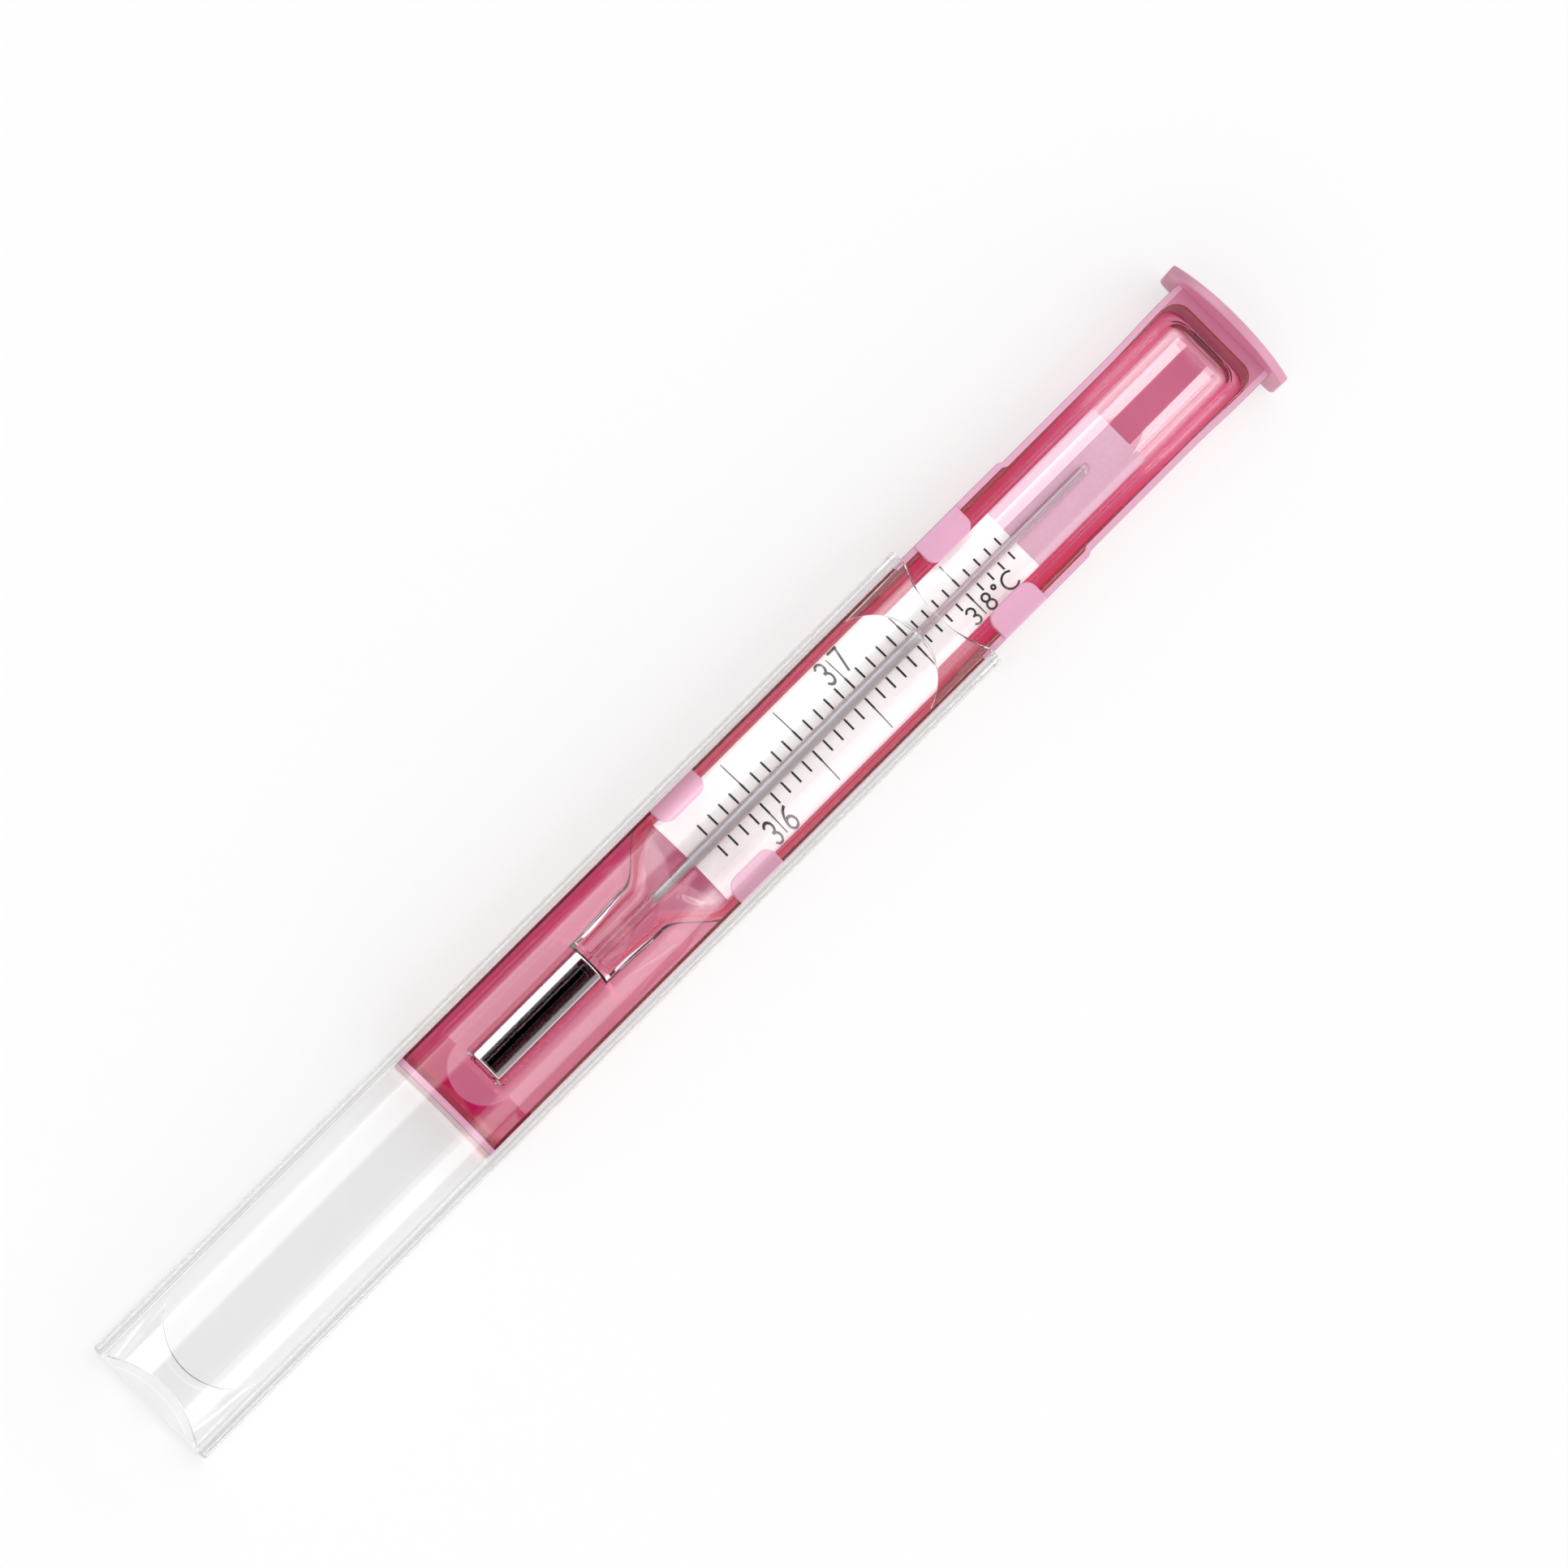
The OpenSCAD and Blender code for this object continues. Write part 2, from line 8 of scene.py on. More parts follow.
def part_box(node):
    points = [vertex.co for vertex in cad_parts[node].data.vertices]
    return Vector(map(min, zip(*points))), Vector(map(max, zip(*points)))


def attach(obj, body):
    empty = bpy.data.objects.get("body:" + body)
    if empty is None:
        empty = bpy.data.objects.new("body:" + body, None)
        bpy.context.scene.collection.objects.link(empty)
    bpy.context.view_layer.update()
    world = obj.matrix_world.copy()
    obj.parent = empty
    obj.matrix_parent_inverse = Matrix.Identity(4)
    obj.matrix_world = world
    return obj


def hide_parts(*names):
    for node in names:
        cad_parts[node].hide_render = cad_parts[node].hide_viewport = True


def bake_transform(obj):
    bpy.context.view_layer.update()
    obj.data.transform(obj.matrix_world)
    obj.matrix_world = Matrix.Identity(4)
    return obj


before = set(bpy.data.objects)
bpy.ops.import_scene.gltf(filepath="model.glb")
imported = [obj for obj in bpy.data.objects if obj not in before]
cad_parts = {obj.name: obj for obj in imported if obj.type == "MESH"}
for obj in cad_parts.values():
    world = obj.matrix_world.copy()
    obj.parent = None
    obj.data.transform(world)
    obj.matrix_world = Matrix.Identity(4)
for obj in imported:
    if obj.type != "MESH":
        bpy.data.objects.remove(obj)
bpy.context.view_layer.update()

# Sleeve: a clear injection-moulded tube that the carrier slides in, with a flat base and an arched top.
# Under the arch the top wall is thick and flat below, which makes it a long lens; past the lens's round
# ends the wall is thin. Both ends are open, with a shallow arc cut out of the top for the thumb.
mm = 0.001
sleeve_low, sleeve_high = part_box("sleeve")
sleeve_wall = 1.05 * mm
sleeve_floor = 1.0 * mm
sleeve_roof = 0.9 * mm
sleeve_edge_r = 1.0 * mm
hollow_r = 0.5 * mm
lens_rise = 2.8 * mm
lens_margin = 1.8 * mm
lens_inset = 5.2 * mm
notch_depth = 2.2 * mm
notch_margin = 2.0 * mm
mould_edge_r = 0.12 * mm
mould_corner = 60
sleeve_smooth = 20
level_normal = 0.9999
end_face_lean = 0.5
wall_face_lean = 0.3
plastic_ior = 1.56
plastic_smudges = 0.015
plastic_grain = 260
smudge_stretch = (0.35, 1, 1)
plastic_wave = 0.0002 * mm
# Grey painted as shade on the tops and round edges of the sleeve's side walls.
wall_painted_grey = (0.78, 0.78, 0.77)


def chord_radius(chord, rise):
    """Radius of the arc that stands that high over that chord."""
    return (chord * chord / 4 + rise * rise) / (2 * rise)


def arc(middle, r, start, end, steps=10):
    """Points on an arc round a middle, from one angle to another, in degrees."""
    turn = [math.radians(start + (end - start) * i / steps) for i in range(steps + 1)]
    return [(middle[0] + r * math.cos(a), middle[1] + r * math.sin(a)) for a in turn]


def welded(faces):
    """A bmesh of faces that are given by their corners. Corners at the same place become one vertex."""
    bm = bmesh.new()
    corners = {}
    for face in faces:
        ring = []
        for point in face:
            key = tuple(round(c / mm * 1e4) for c in point)
            if key not in corners:
                corners[key] = bm.verts.new(point)
            if corners[key] not in ring:
                ring.append(corners[key])
        if len(ring) > 2:
            bm.faces.new(ring)
    return bm


def round_edges(bm, r, least_angle, steps=2):
    """Rounds the edges of a bmesh that turn by more than an angle in degrees."""
    sharp = [e for e in bm.edges if e.calc_face_angle(0) > math.radians(least_angle)]
    bmesh.ops.bevel(
        bm, geom=sharp, offset=r, segments=steps, profile=0.5, affect="EDGES", clamp_overlap=True)


def piece(name, bm, smooth_angle=35):
    """Turns a bmesh into an object, smooth where faces meet at less than an angle in degrees.

    Faces that are level along an axis stay flat.
    """
    mesh = bpy.data.meshes.new(name)
    bm.to_mesh(mesh)
    bm.free()
    mesh.shade_smooth()
    mesh.set_sharp_from_angle(angle=math.radians(smooth_angle))
    for face in mesh.polygons:
        face.use_smooth = max(abs(c) for c in face.normal) < level_normal
    obj = bpy.data.objects.new(name, mesh)
    bpy.context.scene.collection.objects.link(obj)
    return obj


def sleeve_faces():
    """The sleeve's skin: sides, base, hollow, ends, thumb notches, arched top and lens."""
    low_x, high_x = sleeve_low.x, sleeve_high.x
    half = sleeve_high.y
    hollow = half - sleeve_wall
    roof = sleeve_high.z - lens_rise
    ceiling = roof - sleeve_roof
    flat = half - sleeve_edge_r
    inner_flat = hollow - hollow_r
    lens_half = half - lens_margin
    lens_r = chord_radius(2 * lens_half, lens_rise)
    axis = sleeve_high.z - lens_r
    vault_r = lens_r - sleeve_roof
    vault = math.sqrt(vault_r ** 2 - (ceiling - axis) ** 2)
    notch = half - notch_margin
    notch_r = chord_radius(2 * notch, notch_depth)
    reach = high_x - lens_inset - lens_half

    def top(y):
        return axis + math.sqrt(lens_r ** 2 - y * y)

    def under(y):
        return max(axis + math.sqrt(vault_r ** 2 - y * y), ceiling) if abs(y) < vault else ceiling

    def notch_x(y):
        return high_x - notch_depth + notch_r - math.sqrt(notch_r ** 2 - min(abs(y), notch) ** 2)

    def lens_end(y):
        return reach + math.sqrt(lens_half ** 2 - y * y)

    outside = (
        [(lens_half, roof)]
        + arc((flat, roof - sleeve_edge_r), sleeve_edge_r, 90, 0)
        + arc((flat, sleeve_edge_r), sleeve_edge_r, 0, -90)
        + arc((-flat, sleeve_edge_r), sleeve_edge_r, 270, 180)
        + arc((-flat, roof - sleeve_edge_r), sleeve_edge_r, 180, 90)
        + [(-lens_half, roof)])
    inside = (
        arc((inner_flat, ceiling - hollow_r), hollow_r, 90, 0)
        + arc((inner_flat, sleeve_floor + hollow_r), hollow_r, 0, -90)
        + arc((-inner_flat, sleeve_floor + hollow_r), hollow_r, 270, 180)
        + arc((-inner_flat, ceiling - hollow_r), hollow_r, 180, 90))
    faces = []
    for section in (outside, inside):
        for (y0, z0), (y1, z1) in zip(section, section[1:]):
            faces.append([(low_x, y0, z0), (high_x, y0, z0), (high_x, y1, z1), (low_x, y1, z1)])
    rim = (
        [(notch, top(notch))] + outside + [(-notch, top(notch)), (-notch, ceiling)] + inside[::-1]
        + [(notch, ceiling)])
    for x in (low_x, high_x):
        faces.append([(x, y, z) for y, z in rim])
    across_steps = 72
    widest = math.asin(vault / lens_r)
    places = [lens_r * math.sin(widest * (2 * i / across_steps - 1)) for i in range(across_steps + 1)]
    wide_places = [-lens_half, -notch] + places + [notch, lens_half]
    for y0, y1 in zip(wide_places, wide_places[1:]):
        faces.append([
            (-notch_x(y0), y0, top(y0)), (notch_x(y0), y0, top(y0)),
            (notch_x(y1), y1, top(y1)), (-notch_x(y1), y1, top(y1))])
        for end in (1, -1):
            if max(abs(y0), abs(y1)) < notch + mould_edge_r:
                faces.append([
                    (end * notch_x(y0), y0, top(y0)), (end * notch_x(y1), y1, top(y1)),
                    (end * notch_x(y1), y1, under(y1)), (end * notch_x(y0), y0, under(y0))])
            if max(abs(y0), abs(y1)) < vault + mould_edge_r:
                faces.append([
                    (end * notch_x(y0), y0, under(y0)), (end * notch_x(y1), y1, under(y1)),
                    (end * lens_end(y1), y1, under(y1)), (end * lens_end(y0), y0, under(y0))])
                faces.append([
                    (end * lens_end(y0), y0, under(y0)), (end * lens_end(y1), y1, under(y1)),
                    (end * lens_end(y1), y1, ceiling), (end * lens_end(y0), y0, ceiling)])
    right = [(high_x, inner_flat), (high_x, notch), (notch_x(vault), vault)]
    right += [(lens_end(y), y) for y in places[::-1]]
    right += [(notch_x(vault), -vault), (high_x, -notch), (high_x, -inner_flat)]
    faces.append([(x, y, ceiling) for x, y in right + [(-x, y) for x, y in right[::-1]]])
    return faces


sleeve_mesh = welded(sleeve_faces())
bmesh.ops.recalc_face_normals(sleeve_mesh, faces=sleeve_mesh.faces)
round_edges(sleeve_mesh, mould_edge_r, mould_corner)
sleeve = piece("clear_sleeve", sleeve_mesh, sleeve_smooth)


def finish_group():
    """A polished surface as it is handled: faint smudges in the gloss, and long waves left by the mould."""
    group = bpy.data.node_groups.new("polished_finish", "ShaderNodeTree")
    for name in ("Gloss", "Smudges", "Size"):
        group.interface.new_socket(name, in_out="INPUT", socket_type="NodeSocketFloat")
    for name in ("Roughness", "Height"):
        group.interface.new_socket(name, in_out="OUTPUT", socket_type="NodeSocketFloat")
    nodes, links = group.nodes, group.links
    given = nodes.new("NodeGroupInput")
    result = nodes.new("NodeGroupOutput")
    place = nodes.new("ShaderNodeTexCoord")
    stretch = nodes.new("ShaderNodeMapping")
    stretch.inputs["Scale"].default_value = smudge_stretch
    links.new(place.outputs["Object"], stretch.inputs["Vector"])
    smudge = nodes.new("ShaderNodeTexNoise")
    smudge.inputs["Detail"].default_value = 5
    smudge.inputs["Roughness"].default_value = 0.65
    links.new(stretch.outputs["Vector"], smudge.inputs["Vector"])
    links.new(given.outputs["Size"], smudge.inputs["Scale"])
    ramp = nodes.new("ShaderNodeMapRange")
    ramp.inputs["From Min"].default_value = 0.5
    ramp.inputs["From Max"].default_value = 0.75
    links.new(smudge.outputs["Fac"], ramp.inputs["Value"])
    amount = nodes.new("ShaderNodeMath")
    amount.operation = "MULTIPLY_ADD"
    links.new(ramp.outputs["Result"], amount.inputs[0])
    links.new(given.outputs["Smudges"], amount.inputs[1])
    links.new(given.outputs["Gloss"], amount.inputs[2])
    links.new(amount.outputs["Value"], result.inputs["Roughness"])
    wave = nodes.new("ShaderNodeTexNoise")
    wave.inputs["Detail"].default_value = 1
    links.new(stretch.outputs["Vector"], wave.inputs["Vector"])
    half_size = nodes.new("ShaderNodeMath")
    half_size.operation = "MULTIPLY"
    half_size.inputs[1].default_value = 0.5
    links.new(given.outputs["Size"], half_size.inputs[0])
    links.new(half_size.outputs["Value"], wave.inputs["Scale"])
    links.new(wave.outputs["Fac"], result.inputs["Height"])
    return group


polished_finish = finish_group()


def polished(name, gloss, smudges, size, wave_height):
    """A material with the polished finish on a Principled shader, and the shader itself."""
    material = bpy.data.materials.new(name)
    material.use_nodes = True
    nodes, links = material.node_tree.nodes, material.node_tree.links
    shader = nodes["Principled BSDF"]
    finish = nodes.new("ShaderNodeGroup")
    finish.node_tree = polished_finish
    finish.inputs["Gloss"].default_value = gloss
    finish.inputs["Smudges"].default_value = smudges
    finish.inputs["Size"].default_value = size
    links.new(finish.outputs["Roughness"], shader.inputs["Roughness"])
    bump = nodes.new("ShaderNodeBump")
    bump.inputs["Distance"].default_value = wave_height
    bump.inputs["Strength"].default_value = 1
    links.new(finish.outputs["Height"], bump.inputs["Height"])
    links.new(bump.outputs["Normal"], shader.inputs["Normal"])
    return material, shader


def clear(name, ior, smudges, size, wave_height, tint=(1, 1, 1)):
    """A polished material that light goes through, with what each of its surfaces lets pass as its tint."""
    material, shader = polished(name, 0.0, smudges, size, wave_height)
    shader.inputs["Base Color"].default_value = tint + (1,)
    shader.inputs["Transmission Weight"].default_value = 1
    shader.inputs["IOR"].default_value = ior
    return material, shader


plastic = (plastic_ior, plastic_smudges, plastic_grain, plastic_wave)
sleeve.data.materials.append(clear("clear_plastic", *plastic)[0])
# The tops and round edges of the side walls get a grey copy of the clear plastic: painted grey shade, where
# the clear walls look grey edge-on.
sleeve.data.materials.append(clear("clear_wall_painted_shade", *plastic, wall_painted_grey)[0])
for face in sleeve.data.polygons:
    in_wall = abs(face.center.y) > sleeve_high.y - sleeve_wall and abs(face.normal.x) < end_face_lean
    face.material_index = 1 if in_wall and abs(face.normal.z) > wall_face_lean else 0
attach(sleeve, "sleeve")
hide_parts("sleeve")

# Carrier: a trough of transparent pink plastic that slides in the sleeve, moulded in one piece with four
# clip tabs over the glass and a D-shaped flange to pull. Clips, flange and the tops of the walls are satin.
# The walls step in above the upper clips and flare out to the flange. On the left beside the bulb and past
# its tip, crimson is painted into the pink as shade.
carrier_low, carrier_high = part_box("carrier")
flange_t = 1.2 * mm
flange_face = carrier_high.x - flange_t
carrier_half = 7.8 * mm
carrier_base = 1.2 * mm
wall_top = 7.3 * mm
carrier_edge_r = 1.0 * mm
rim_r = 0.25 * mm
satin_w = 0.8 * mm
satin_inset = 0.05 * mm
satin_proud = 0.02 * mm
satin_depth = 0.12 * mm
satin_edge_r = 0.04 * mm
waist_in = 0.35 * mm
flange_in = 0.1 * mm
waist_from = flange_face - 31.2 * mm
waist_to = flange_face - 13.5 * mm
flare_to = flange_face - 3.0 * mm
step_l = 0.8 * mm
trough_half = 6.5 * mm
trough_floor = 2.0 * mm
trough_r = 3.0 * mm
trough_upper_r = 1.2 * mm
trough_end_r = 2.2 * mm
trough_low = carrier_low.x + 0.9 * mm
trough_high = flange_face - 1.5 * mm
end_lean = 2.0 * mm
clip_l = 7.1 * mm
clip_low_z = 6.68 * mm
clip_top_z = 7.7 * mm
clip_tip = 4.3 * mm
clip_r = 1.5 * mm
clip_inset = 0.05 * mm
clip_edge_r = 0.2 * mm
clip_places = (flange_face - 41.9 * mm, flange_face - 86.8 * mm)
flange_side_z = 8.0 * mm
flange_corner_r = 1.2 * mm
flange_edge_r = 0.3 * mm
rim_steps = 5
corner_steps = 16
end_steps = 14
waist_steps = 8
flare_steps = 16
curve_steps = 12
arch_steps = 48
flange_face_lean = 0.9
pink_ior = 1.49
pink_smudges = 0.05
pink_grain = 320
pink_wave = 0.0003 * mm
pink_tint = (0.96, 0.76, 0.87)
pink_clearness = 0.92
pink_passes = (0.913, 0.0, 0.347)
pink_density = 1.5 / mm
# Crimson painted as shade into the pink on the left beside the bulb and past its tip, where thick plastic
# looks dark.
painted_crimson_shade = (0.78, 0.05, 0.34)
shade_side = 3.3 * mm
shade_to = 23.9 * mm
tip_oval_x = -11.2 * mm
tip_oval_r = 4.1 * mm
tip_oval_narrow = 1.65
satin_gloss = 0.3
satin_smudges = 0.1
satin_grain = 260
satin_wave = 0.0002 * mm
satin_clearness = 0.25


def smooth(t):
    """Eases from 0 to 1."""
    t = min(max(t, 0), 1)
    return t * t * (3 - 2 * t)


def carrier_width(x):
    """Half the carrier's width at a place along it."""
    waist = waist_in * smooth((x - waist_from) / step_l)
    flare = (waist_in - flange_in) * smooth((x - waist_to) / (flare_to - waist_to))
    return carrier_half - waist + flare


def trough_width(x):
    """Half the trough's width at a place along it, with its round upper end."""
    past = max(0, x - (trough_high - trough_end_r))
    return trough_half - trough_end_r + math.sqrt(max(trough_end_r ** 2 - past ** 2, 0))


def between(start, end, steps):
    """Even places from one to another, both included."""
    return [start + (end - start) * i / steps for i in range(steps + 1)]


def strips(rings, closed):
    """Faces between rows of points."""
    faces = []
    for a, b in zip(rings, rings[1:]):
        count = len(a) if closed else len(a) - 1
        for i in range(count):
            n = (i + 1) % len(a)
            faces.append([a[i], b[i], b[n], a[n]])
    return faces


waist_places = between(waist_from, waist_from + step_l, waist_steps)
waist_places += between(waist_to, flare_to, flare_steps)


def carrier_skin():
    """The trough as a bathtub: outside, inside, rim and the two end walls."""
    round_places = [
        trough_high - trough_end_r * (1 - math.sin(math.radians(a))) for a in between(0, 90, end_steps)]
    inner_places = sorted(set([trough_low] + waist_places + round_places))
    outer_places = [carrier_low.x] + inner_places + [flange_face + satin_proud]

    def outer_ring(x):
        half = carrier_width(x)
        side = arc((half - rim_r, wall_top - rim_r), rim_r, 90, 0, rim_steps)
        side += arc((half - carrier_edge_r, carrier_base + carrier_edge_r), carrier_edge_r, 0, -90)
        return [(x, y, z) for y, z in side] + [(x, -y, z) for y, z in side[::-1]]

    def inner_ring(x):
        half = trough_width(x)
        upper = smooth((x - waist_from) / (waist_to - waist_from))
        r = min(trough_r + (trough_upper_r - trough_r) * upper, half)
        side = arc((half + rim_r, wall_top - rim_r), rim_r, 90, 180, rim_steps)
        side += arc((half - r, trough_floor + r), r, 0, -90, corner_steps)
        ring = [(x, y, z) for y, z in side] + [(x, -y, z) for y, z in side[::-1]]
        if x == trough_low:
            lean = end_lean / (wall_top - trough_floor)
            ring = [(x + lean * (wall_top - z), y, z) for x, y, z in ring]
        return ring

    outer = [outer_ring(x) for x in outer_places]
    inner = [inner_ring(x) for x in inner_places]
    faces = strips(outer, False) + strips([ring[::-1] for ring in inner], False)
    for end in (0, -1):
        for k in range(len(inner) - 1):
            faces.append([outer[k + 1][end], outer[k + 2][end], inner[k + 1][end], inner[k][end]])
    for near, next_to, hollow in ((outer[0], outer[1], inner[0]), (outer[-1], outer[-2], inner[-1])):
        faces.append([near[0], next_to[0], hollow[0], hollow[-1], next_to[-1], near[-1]])
        faces.append(near)
        faces.append(hollow)
    return faces


def lying(point, z):
    """A point of a plate's outline at a height."""
    return (point[0], point[1], z)


def slab(outline, low, high, place=lying):
    """Faces of a plate with that outline between two levels. place puts a point of it where it belongs."""
    floor = [place(p, low) for p in outline]
    top = [place(p, high) for p in outline]
    return [floor[::-1], top] + strips([floor + floor[:1], top + top[:1]], False)


def clip_faces(middle, side):
    """One clip tab, from just inside the wall's outer face to its round tip over the glass."""
    root = carrier_half - clip_inset
    low, high = middle - clip_l / 2, middle + clip_l / 2
    outline = [(low, root)]
    outline += arc((low + clip_r, clip_tip + clip_r), clip_r, 180, 270)
    outline += arc((high - clip_r, clip_tip + clip_r), clip_r, 270, 360)
    outline += [(high, root)]
    return slab([(x, side * y) for x, y in outline], clip_low_z, clip_top_z)


def flange_faces():
    """The D-shaped flange: a flat foot with round corners, straight sides and an arched top."""
    half = carrier_high.y
    low, top = carrier_low.z, carrier_high.z
    arch_r = chord_radius(2 * half, top - flange_side_z)
    spread = math.degrees(math.asin(half / arch_r))
    side = arc((half - flange_corner_r, low + flange_corner_r), flange_corner_r, -90, 0)
    arch = arc((0, top - arch_r), arch_r, 90 - spread, 90 + spread, arch_steps)
    outline = side + arch + [(-y, z) for y, z in side[::-1]]
    return slab(outline, flange_face, carrier_high.x, lambda p, x: (x, p[0], p[1]))


def on_rim(outline):
    """A thin satin layer with that outline, let into the top of the walls."""
    return slab(outline, wall_top - satin_depth, wall_top + satin_proud)


def side_rim(side):
    """The satin layer on one wall, from below the upper clip to the flange."""
    places = sorted(set([clip_places[0] - clip_l, flange_face] + waist_places))
    outer = [(x, side * (carrier_width(x) - satin_inset)) for x in places]
    inner = [(x, side * (carrier_width(x) - satin_w)) for x in places]
    return on_rim(outer + inner[::-1])


def low_rim():
    """The satin layer on the wall past the bulb."""
    start, end = carrier_low.x + satin_inset, trough_low - satin_inset
    half = carrier_half - satin_inset
    return on_rim([(start, -half), (end, -half), (end, half), (start, half)])


def flange_rim():
    """The layer on the wall before the flange, round the trough's upper end."""
    half = carrier_width(flange_face) - satin_w
    turns = between(0, math.pi / 2, curve_steps)
    curve = [trough_high - trough_end_r * (1 - math.sin(a)) for a in turns]
    side = [(flange_face, half), (curve[0], half)]
    side += [(x + rim_r, trough_width(x) + rim_r) for x in curve]
    return on_rim(side + [(x, -y) for x, y in side[::-1]])


def solid(faces, edge_r=0):
    """A closed bmesh whose faces look outward, with its edges rounded if a radius is given."""
    bm = welded(faces)
    bmesh.ops.recalc_face_normals(bm, faces=bm.faces)
    if edge_r:
        round_edges(bm, edge_r, least_angle=50, steps=3)
    return bm


def together(*parts):
    """One bmesh of several."""
    whole = bmesh.new()
    for part in parts:
        mesh = bpy.data.meshes.new("part")
        part.to_mesh(mesh)
        part.free()
        whole.from_mesh(mesh)
        bpy.data.meshes.remove(mesh)
    return whole


carrier = piece("pink_carrier", solid(carrier_skin()))
pink_plastic, pink_shader = clear("pink_plastic", pink_ior, pink_smudges, pink_grain, pink_wave, pink_tint)
pink_shader.inputs["Transmission Weight"].default_value = pink_clearness
pink_tree = pink_plastic.node_tree
pink_depth = pink_tree.nodes.new("ShaderNodeVolumeAbsorption")
pink_depth.inputs["Color"].default_value = pink_passes + (1,)
pink_depth.inputs["Density"].default_value = pink_density
pink_tree.links.new(pink_depth.outputs["Volume"], pink_tree.nodes["Material Output"].inputs["Volume"])


def math_node(tree, operation, a, b):
    """A Math node in a tree, fed by sockets or by numbers."""
    node = tree.nodes.new("ShaderNodeMath")
    node.operation = operation
    for socket, value in zip(node.inputs, (a, b)):
        if isinstance(value, (int, float)):
            socket.default_value = value
        else:
            tree.links.new(value, socket)
    return node.outputs["Value"]


def painted_shade_parts(tree):
    """1 where crimson shade is painted into the pink, on the left beside the bulb and past an oval round
    its tip, else 0.
    """
    place = tree.nodes.new("ShaderNodeTexCoord")
    parts = tree.nodes.new("ShaderNodeSeparateXYZ")
    tree.links.new(place.outputs["Object"], parts.inputs["Vector"])
    x, y = parts.outputs["X"], parts.outputs["Y"]
    along = math_node(tree, "SUBTRACT", x, tip_oval_x)
    across = math_node(tree, "MULTIPLY", y, tip_oval_narrow)
    across_sq = math_node(tree, "MULTIPLY", across, across)
    along_sq = math_node(tree, "MULTIPLY", along, along)
    past = math_node(tree, "GREATER_THAN", math_node(tree, "ADD", across_sq, along_sq), tip_oval_r ** 2)
    low_end = math_node(tree, "MULTIPLY", past, math_node(tree, "LESS_THAN", along, 0))
    beside = math_node(tree, "GREATER_THAN", y, shade_side)
    beside = math_node(tree, "MULTIPLY", beside, math_node(tree, "LESS_THAN", x, shade_to))
    return math_node(tree, "MAXIMUM", low_end, beside)


# Painted shade: the pink's tint turns crimson where the mask is 1.
pink_and_shade = pink_tree.nodes.new("ShaderNodeMix")
pink_and_shade.data_type = "RGBA"
pink_tree.links.new(painted_shade_parts(pink_tree), pink_and_shade.inputs["Factor"])
pink_and_shade.inputs["A"].default_value = pink_tint + (1,)
pink_and_shade.inputs["B"].default_value = painted_crimson_shade + (1,)
pink_tree.links.new(pink_and_shade.outputs["Result"], pink_shader.inputs["Base Color"])
carrier.data.materials.append(pink_plastic)


def satin(name, colour):
    """The same plastic with a fine texture from the mould, which lets little light straight through."""
    material, shader = polished(name, satin_gloss, satin_smudges, satin_grain, satin_wave)
    shader.inputs["Base Color"].default_value = colour + (1,)
    shader.inputs["Transmission Weight"].default_value = satin_clearness
    shader.inputs["IOR"].default_value = pink_ior
    return material


satin_pink = satin("satin_pink", (0.86, 0.46, 0.64))
# The flange is the clips' satin painted darker as shade. Its edges are a little darker, and its flat faces
# and the wall top before it are deep rose, because they look deep when seen along the plastic.
flange_satin_shade = satin("flange_satin_shade", (0.72, 0.34, 0.47))
flange_face_deep_shade = satin("flange_face_deep_shade", (0.7, 0.24, 0.38))
clips = [solid(clip_faces(middle, side), clip_edge_r) for middle in clip_places for side in (1, -1)]
rims = [solid(faces, satin_edge_r) for faces in (side_rim(1), side_rim(-1), low_rim())]
satin_parts = piece("carrier_clips", together(*clips, *rims))
satin_parts.data.materials.append(satin_pink)
flange = piece("carrier_flange", together(
    solid(flange_faces(), flange_edge_r), solid(flange_rim(), satin_edge_r)))
flange.data.materials.append(flange_satin_shade)
flange.data.materials.append(flange_face_deep_shade)
for face in flange.data.polygons:
    inside = face.center.x < flange_face
    face.material_index = 1 if inside or abs(face.normal.x) > flange_face_lean else 0
for obj in (carrier, satin_parts, flange):
    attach(obj, "carrier")
    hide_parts("carrier")

# Thermometer glass: the oval sheath, the bulb and the capillary rod are drawn singly and fused into one.
# The sheath is round at the neck, widens over a shoulder to a flat oval and closes in a dome.
# The carrier's clips hold it.
bulb_low, bulb_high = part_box("bulb_glass")
sheath_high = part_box("sheath_glass")[1]
rod_low, rod_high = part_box("capillary_tube")
thread_low, thread_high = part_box("metal_thread")
axis_z = (bulb_low.z + bulb_high.z) / 2
bulb_r = (bulb_high.z - bulb_low.z) / 2
bulb_edge_r = 1.0 * mm
bulb_flat = 0.86
bulb_spread = 1.2
bulb_wall = 0.12 * mm
hollow_edge_r = 0.3 * mm
hollow_shoulder = 0.45 * mm
bulb_tip_wall = 0.45 * mm
bulb_top_wall = 0.8 * mm
glass_half_w = sheath_high.y
glass_half_t = 2.6 * mm
glass_mid_z = 4.7 * mm
glass_wall = 0.7 * mm
oval_power = 2.4
neck_swell = 0.2 * mm
neck_l = 8.3 * mm
neck_blend = 0.97
shoulder_l = 7.0 * mm
dome_r = 2.3 * mm
rod_r = (rod_high.z - rod_low.z) / 2
bore_r = 0.28 * mm
bore_reach = 1.1 * bore_r
rod_seal = 0.9 * mm
glass_sides = 96
glass_smooth = 40
straight_l = 0.3 * mm
long_steps = 24
neck_steps = 8
shoulder_steps = 32
dome_steps = 16
outer_edge_steps = 14
edge_steps = 10
rod_tip_steps = 14
tip_steps = 8
glass_ior = 1.5
glass_smudges = 0.015
glass_grain = 180
glass_wave = 0.00005 * mm
